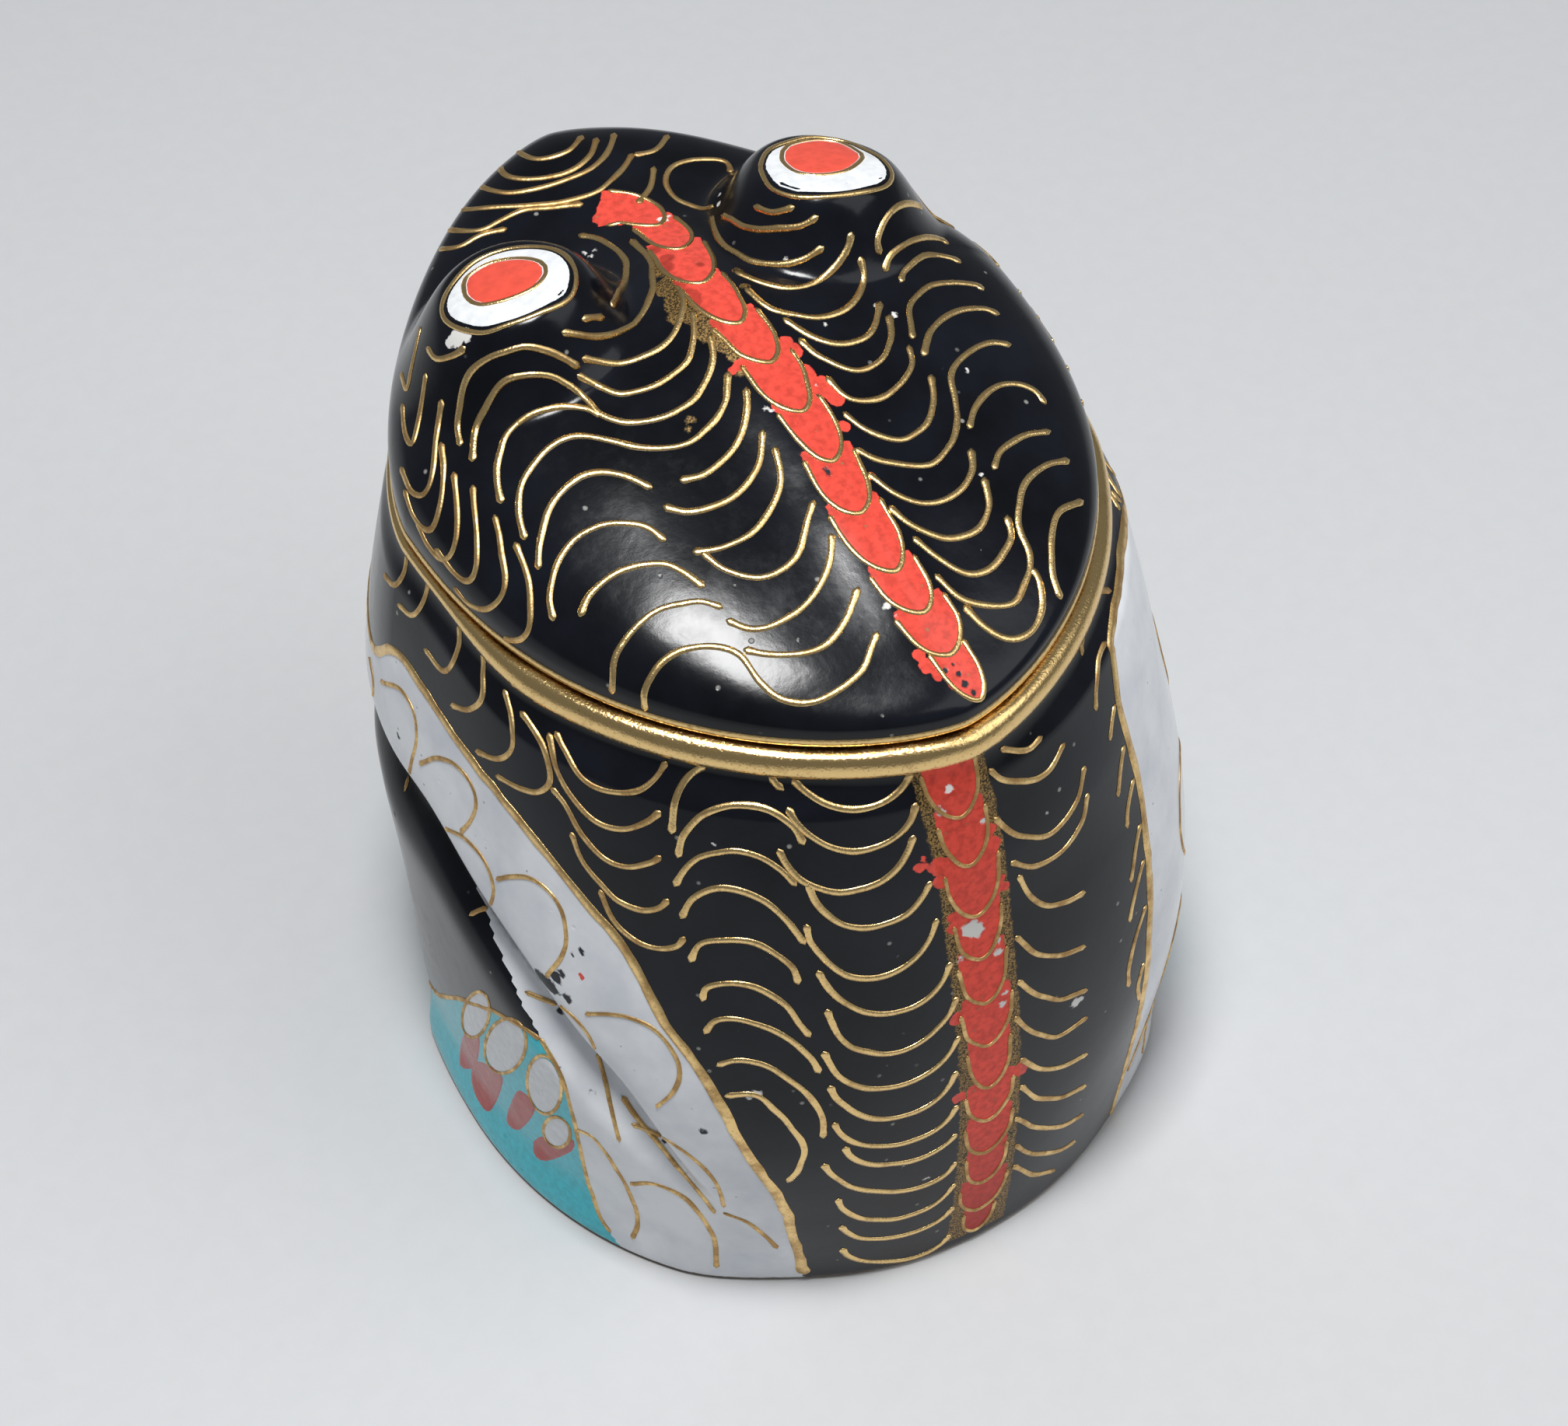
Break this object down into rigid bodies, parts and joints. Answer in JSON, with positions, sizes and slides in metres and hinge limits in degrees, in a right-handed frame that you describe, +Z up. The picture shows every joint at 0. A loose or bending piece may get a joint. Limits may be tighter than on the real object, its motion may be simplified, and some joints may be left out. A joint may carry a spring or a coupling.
{
  "type": "enamel frog box",
  "caption": "Small cloisonne enamel trinket box in the form of a crouching frog, hollow, with a lid that lifts off and gilt wire scales on black enamel.",
  "frame": {"origin": "middle of the box seen from above, on its flat underside", "axes": "+Z up, the frog faces -Y, its left side is +X"},
  "size_m": [0.0528, 0.0604, 0.0621],
  "materials": {
    "enamel": "glossy black cloisonne enamel with gilt wires, red stripe, white and turquoise fields",
    "gilt": "worn gilt, satin"
  },
  "bodies": {
    "root": {"base": "enamel", "base_rim": "gilt", "lid": "enamel", "lid_rim": "gilt"}
  },
  "joints": []
}
